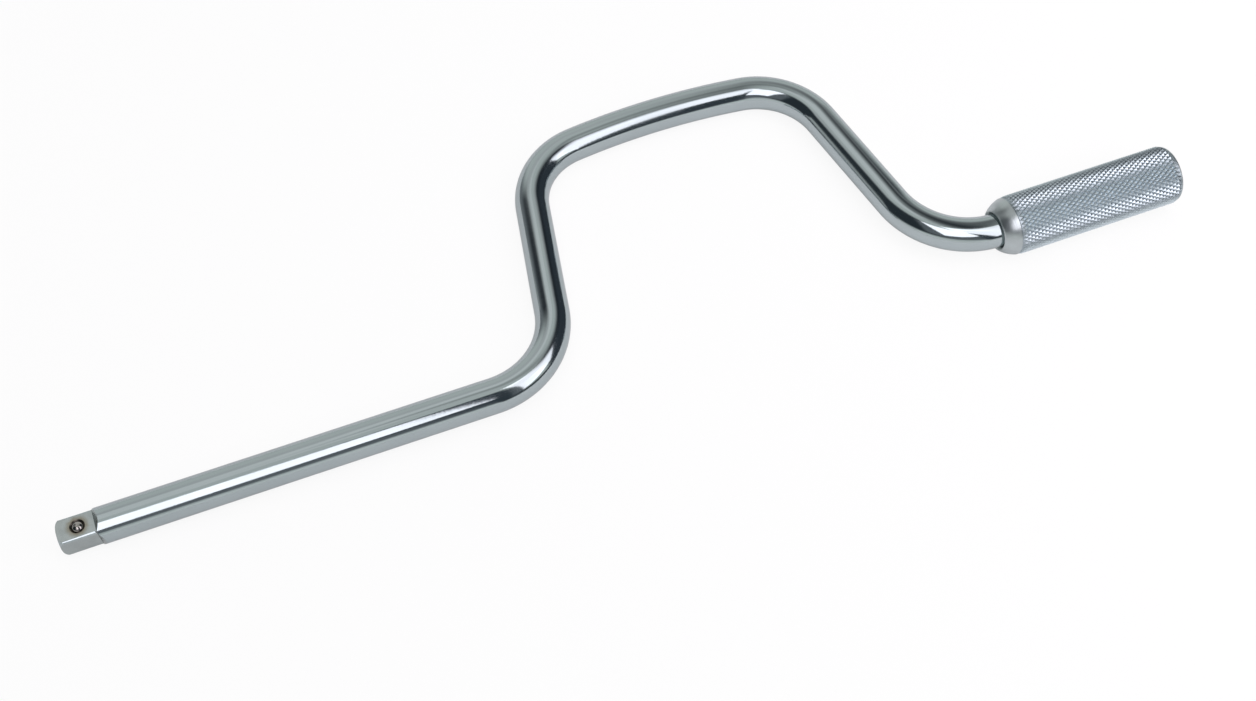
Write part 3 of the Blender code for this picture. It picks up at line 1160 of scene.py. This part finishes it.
@dataclass(frozen=True)
class PhotoCamera:
    """The photograph's viewpoint.

    Attributes:
        azimuth: Where it stands, in degrees from straight in front, towards +X.
        elevation: Degrees above the plane of the crank.
        distance: From the target, in metres.
        target: The point in the middle of the picture.
        lens: Focal length in millimetres on the sensor.
        sensor: Width of the sensor in millimetres.
        nearest: Where its view starts, in metres.
    """

    azimuth: float = -21.03
    elevation: float = 59.08
    distance: float = 0.5836
    target: tuple[float, float, float] = (0.2078, 0.00045, 0.0)
    lens: float = 45.83
    sensor: float = 36.0
    nearest: float = 0.01

    def place(self) -> None:
        """Add the camera and look through it."""
        data = bpy.data.cameras.new("photo_camera")
        data.lens = self.lens
        data.sensor_width = self.sensor
        data.clip_start = self.nearest
        camera = add_object("photo_camera", data)
        camera.location = Vector(self.target) + way_to(self.azimuth, self.elevation) * self.distance
        camera.rotation_euler = looking_back(self.azimuth, self.elevation).to_euler()
        bpy.context.scene.camera = camera


@dataclass(frozen=True)
class Hanging:
    """Something that hangs near the handle.

    Attributes:
        name: Its name.
        place_at: The bearing and the height of its middle, in degrees.
        distance: From the middle of the handle, in metres.
        back: The bearing and the height that its back looks to, in degrees.
        roll: Degrees that it is turned about its own axis.
    """

    name: str
    place_at: tuple[float, float]
    distance: float
    back: tuple[float, float]
    roll: float

    def pose(self, middle: Vector) -> tuple[Vector, Matrix]:
        """Return its place round a point, and its turn."""
        centre = middle + way_to(*self.place_at) * self.distance
        return centre, looking_back(*self.back, self.roll)


@dataclass(frozen=True)
class Softbox(Hanging):
    """A soft lamp.

    Attributes:
        size: Width and height in metres.
        radiance: How bright its face is.
        mirrored: Whether the metal shows it.
        tint: The colour of its light.
    """

    size: tuple[float, float]
    radiance: float
    mirrored: bool = True
    tint: Colour = (1.03, 0.96, 1.02)

    def hang(self, middle: Vector) -> None:
        """Hang the lamp round a point."""
        data = bpy.data.lights.new(self.name, "AREA")
        data.shape = "RECTANGLE"
        data.size, data.size_y = self.size
        data.color = self.tint
        data.energy = self.radiance * math.pi * data.size * data.size_y
        lamp = add_object(self.name, data)
        lamp.location, turn = self.pose(middle)
        lamp.rotation_euler = turn.to_euler()
        lamp.visible_camera = False
        lamp.visible_glossy = self.mirrored


@dataclass(frozen=True)
class WallBand:
    """A stretch of the room's wall with a brightness of its own.

    Attributes:
        bearings: Where it starts and ends, in degrees from straight in front, towards +X.
        heights: Where it starts and ends, in degrees above the horizon.
        level: Its brightness.
        soft: How wide its edges are, in degrees.
    """

    bearings: tuple[float, float]
    heights: tuple[float, float]
    level: float
    soft: float


@dataclass(frozen=True)
class WallPanel:
    """A far rectangle of the room's wall, darker than the rest.

    Attributes:
        place_at: The bearing and the height of its middle, in degrees.
        roll: Degrees that it is turned about its own axis.
        half_size: Half its width and height, per metre of distance.
        soft: How wide its edges are, per metre of distance.
        colour: Its colour.
        fading: How far in front a direction has to point for all of the panel to show.
    """

    place_at: tuple[float, float]
    roll: float
    half_size: tuple[float, float]
    soft: float
    colour: Colour
    fading: float = 0.1

    def share(self, sheet: NodeSheet, way: Signal) -> Signal:
        """Tell how much of the panel is seen in a direction.

        Args:
            sheet: The world's nodes.
            way: The direction.

        Returns:
            The share, between 0 and 1.
        """
        turn = looking_back(*self.place_at, self.roll).to_euler()
        sockets = {"Vector": way, "Rotation": turn}
        local = sheet.add("ShaderNodeMapping", {"vector_type": "TEXTURE"}, sockets)
        x, y, depth = sheet.axes(local)
        width, height = self.half_size
        across = (x / depth).within(width, self.soft)
        return depth.ramp(0.0, self.fading) * across * (y / depth).within(height, self.soft)


@dataclass(frozen=True)
class DarkCard(Hanging):
    """A dark card with soft edges, which only the metal mirrors.

    Attributes:
        half_size: Half its width and height in metres, to the middle of its soft edges.
        soft: How wide its edges are.
        colour: Its colour.
    """

    half_size: tuple[float, float]
    soft: float
    colour: Colour

    def hang(self, middle: Vector) -> None:
        """Hang the card round a point."""
        centre, turn = self.pose(middle)
        material, sheet = new_material(self.name)
        x, y, _ = sheet.axes(sheet.place(centre=centre, turn=turn.to_euler()))
        width, height = self.half_size
        share = x.within(width, self.soft) * y.within(height, self.soft)
        clear = sheet.add("ShaderNodeBsdfTransparent")
        sheet.show(sheet.cover(share, clear, sheet.glow(self.colour)))
        bm = bmesh.new()
        place = Matrix.Translation(centre) @ turn.to_4x4()
        bmesh.ops.create_grid(bm, size=max(self.half_size) + self.soft, matrix=place)
        card = add_mesh(self.name, bm, (material,))
        card.visible_camera = card.visible_diffuse = card.visible_shadow = False


@dataclass(frozen=True)
class Studio:
    """The pale floor, the room round it and its lamps.

    Attributes:
        wall: The room's colour.
        bands: Stretches of its wall that are brighter or darker.
        panels: Dark panels over the wall and the bands.
        card: The dark card that hangs near the handle.
        lamps: The lamps.
        floor_colour: The paper's colour.
        floor_glow: How much of it the camera sees as plain white.
        floor_sheen: How much of it the metal mirrors as plain white.
        floor_radius: How far it reaches.
        floor_sides: How many sides it has.
        floor_gap: How far it lies under the handle.
        fibre_size: How large the paper's fibres are.
        fibre_shade: How bright they are beside the paper.
        shank_rest: Where the shank's end rests on it, along X.
        bow_rest: Where the hand bar rests on it, along X.
    """

    wall: Colour = (0.765, 0.785, 0.77)
    bands: tuple[WallBand, ...] = (
        WallBand((-200, 200), (36, 51), 0.72, 2),
        WallBand((-200, -135), (53, 80), 0.94, 2),
        WallBand((168, 200), (53, 80), 0.94, 8),
        WallBand((-60, 36), (-12, 6), 0.99, 1),
    )
    panels: tuple[WallPanel, ...] = (
        WallPanel((-63, 41), 17, (1.04, 0.57), 0.25, (0.04, 0.05, 0.06)),
        WallPanel((95, 22), -15, (0.58, 0.56), 0.25, (0.05, 0.06, 0.075)),
        WallPanel((-3, 44), -19, (0.90, 0.53), 0.20, (0.20, 0.21, 0.23)),
        WallPanel((13, 43), 0, (0.14, 0.66), 0.13, (0.055, 0.07, 0.085)),
        WallPanel((42, 6), -8, (0.65, 0.10), 0.12, (0.06, 0.07, 0.085)),
        WallPanel((62, 58), -27, (0.22, 0.20), 0.08, (0.02, 0.025, 0.03)),
        WallPanel((145, 71), 0, (0.20, 0.09), 0.14, (0.50, 0.51, 0.505)),
        WallPanel((-141, 28), 17, (0.17, 0.45), 0.35, (0.035, 0.04, 0.05)),
        WallPanel((-142, 6), -12, (0.30, 0.26), 0.42, (0.26, 0.27, 0.285)),
        WallPanel((-117, 0), -5, (0.34, 0.20), 0.03, (0.49, 0.50, 0.505)),
    )
    card: DarkCard = DarkCard(
        "dark_card", (111, 52), 0.41, (146, 60), 21, (0.075, 0.20), 0.19, (0.025, 0.03, 0.04)
    )
    lamps: tuple[Softbox, ...] = (
        Softbox("overhead_softbox", (-16, 58.5), 2.88, (-51, 22), 30, (1.73, 2.18), 2.25),
        Softbox("side_softbox", (62, 42), 0.96, (-19, 43), 36, (1.00, 0.76), 2.05),
        Softbox("floor_fill", (0, 89), 2.5, (0, 89), 0, (2.0, 2.0), 1.25, mirrored=False),
    )
    floor_colour: Colour = (0.88, 0.88, 0.88)
    floor_glow: float = 0.9
    floor_sheen: float = 0.3
    floor_radius: float = 6.0
    floor_sides: int = 64
    floor_gap: float = 0.0002
    fibre_size: float = 0.004
    fibre_shade: float = 0.98
    shank_rest: float = 0.0142
    bow_rest: float = 0.257

    def light_room(self) -> None:
        """Make the world: pale walls with dark patches, in fixed directions round the handle."""
        world = bpy.data.worlds.new("studio_room")
        world.use_nodes = True
        bpy.context.scene.world = world
        sheet = NodeSheet(world.node_tree)
        way = sheet.add("ShaderNodeTexCoord", output="Generated")
        x, y, z = sheet.axes(way)
        bearing = x.maths("ARCTAN2", x, -y) * math.degrees(1)
        height = z.maths("ARCSINE", z) * math.degrees(1)
        colour = self.wall
        for band in self.bands:
            across = bearing.window(*band.bearings, band.soft)
            share = across * height.window(*band.heights, band.soft)
            colour = sheet.blend(share, colour, (band.level,) * 3)
        for panel in self.panels:
            colour = sheet.blend(panel.share(sheet, way), colour, panel.colour)
        back = sheet.add("ShaderNodeBackground", None, {"Color": colour, "Strength": 1.0})
        sheet.add("ShaderNodeOutputWorld", None, {"Surface": back})

    def floor_finish(self) -> Material:
        """Return the floor's pale paper, which is part plain white to the camera and to metal."""
        material, sheet = new_material("floor_paper")
        fibres = sheet.noise(sheet.place(self.fibre_size), FINE_DETAIL)
        shade = tuple(self.fibre_shade * part for part in self.floor_colour)
        tone = sheet.blend(fibres, self.floor_colour, shade)
        paper = sheet.add("ShaderNodeBsdfDiffuse", None, {"Color": tone})
        seen = sheet.add("ShaderNodeLightPath", output="Is Camera Ray")
        mirrored = seen.output("Is Glossy Ray") + seen.output("Is Transmission Ray")
        share = self.floor_glow * seen + self.floor_sheen * mirrored.ramp(0.0, 1.0)
        sheet.show(sheet.cover(share, paper, sheet.glow(WHITE)))
        return material

    def lay_floor(self) -> None:
        """Lay the floor against the three places that the handle rests on."""
        bar_low, bar_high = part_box("crank_bar")
        grip_low, grip_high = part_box("grip_sleeve")
        shank = Vector((self.shank_rest, 0.0, bar_low.z))
        heel = Vector((grip_high.x, 0.0, grip_low.z))
        bow = Vector((self.bow_rest, bar_high.y - bar_high.z, bar_low.z))
        normal = (heel - shank).cross(bow - shank).normalized()
        turn = normal.to_track_quat("Z", "Y").to_matrix().to_4x4()
        place = Matrix.Translation(shank - normal * self.floor_gap) @ turn
        bm = bmesh.new()
        bmesh.ops.create_circle(
            bm, cap_ends=True, segments=self.floor_sides, radius=self.floor_radius, matrix=place
        )
        add_mesh("floor", bm, (self.floor_finish(),))

    def build(self) -> None:
        """Set up the floor, the room and the lamps."""
        self.lay_floor()
        self.light_room()
        low, high = cad_box
        for thing in (*self.lamps, self.card):
            thing.hang((Vector(low) + Vector(high)) / 2)


def main() -> None:
    """Build the handle's pieces, then the studio and the camera."""
    logging.basicConfig(level=logging.INFO, format="%(name)s: %(message)s")
    bpy.context.scene.view_settings.view_transform = "Standard"

    bar = CrankBar()
    chrome = MetalFinish(
        "bar_chrome_plate",
        colour=(0.40, 0.455, 0.465),
        shade=(0.385, 0.44, 0.45),
        roughness=(0.07, 0.14),
        cloud_size=0.022,
        grain_size=0.0014,
        grain_depth=6e-6,
    )
    milled = DriveSteel(
        "square_milled",
        colour=(0.385, 0.425, 0.420),
        shade=(0.360, 0.398, 0.394),
        roughness=(0.16, 0.28),
        cloud_size=0.004,
        grain_size=0.00012,
        grain_depth=3e-6,
        grain=Grain.ROUND,
        hole=(bar.hole_from_end, 0.0, bar.half_side),
        stain=(0.255, 0.235, 0.180),
        stain_radius=0.0045,
        # painted shade in the hole's mouth round the ball
        pit_shade=(0.07, 0.062, 0.055),
        pit_shade_radius=bar.sink_radius,
    )
    bar.build(chrome.make(), milled.make())

    detent = Detent(bar)
    ball_steel = MetalFinish(
        "ball_polished",
        colour=(0.40, 0.38, 0.365),
        shade=(0.30, 0.285, 0.27),
        roughness=(0.05, 0.10),
        cloud_size=0.0015,
        grain_size=0.0002,
        grain_depth=5e-7,
    )
    detent.build_ball(ball_steel.make())
    spring_wire = MetalFinish(
        "spring_drawn_wire",
        colour=(0.33, 0.33, 0.34),
        shade=(0.24, 0.235, 0.23),
        roughness=(0.25, 0.45),
        cloud_size=0.001,
        grain_size=0.0001,
        grain_depth=2e-6,
    )
    spring_steel = spring_wire.make()
    detent.build_spring(spring_steel)

    grip = Grip()
    turned_steel = MetalFinish(
        "grip_turned",
        colour=(0.45, 0.50, 0.505),
        shade=(0.40, 0.44, 0.445),
        roughness=(0.27, 0.37),
        cloud_size=0.006,
        grain_size=0.0003,
        grain_depth=18e-6,
        grain=Grain.ROUND,
    )
    knurled = KnurlSteel(
        "grip_knurled",
        colour=(0.56, 0.64, 0.68),
        shade=(0.51, 0.585, 0.62),
        roughness=(0.26, 0.36),
        cloud_size=0.005,
        grain_size=0.00025,
        grain_depth=4e-6,
        root_radius=grip.root(grip.length),
        tip_radius=grip.radius,
        # dirt and painted shade low in the knurl's grooves
        grime_and_shade=(0.335, 0.39, 0.415),
    )
    satin = turned_steel.make()
    grip.build_sleeve(satin, knurled.make())
    grip.build_plug(satin)
    bronze = MetalFinish(
        "bush_sintered",
        colour=(0.55, 0.36, 0.16),
        shade=(0.40, 0.25, 0.11),
        roughness=(0.35, 0.55),
        cloud_size=0.002,
        grain_size=0.0002,
        grain_depth=8e-6,
    )
    washer_steel = MetalFinish(
        "washer_ground",
        colour=(0.48, 0.48, 0.47),
        shade=(0.42, 0.42, 0.41),
        roughness=(0.28, 0.42),
        cloud_size=0.003,
        grain_size=0.0001,
        grain_depth=3e-6,
        grain=Grain.ROUND,
    )
    grip.build_rings(bronze.make(), washer_steel.make())
    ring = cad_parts["retaining_ring"]
    ring.data.materials.clear()
    ring.data.materials.append(spring_steel)

    Studio().build()
    PhotoCamera().place()


if __name__ == "__main__":
    main()
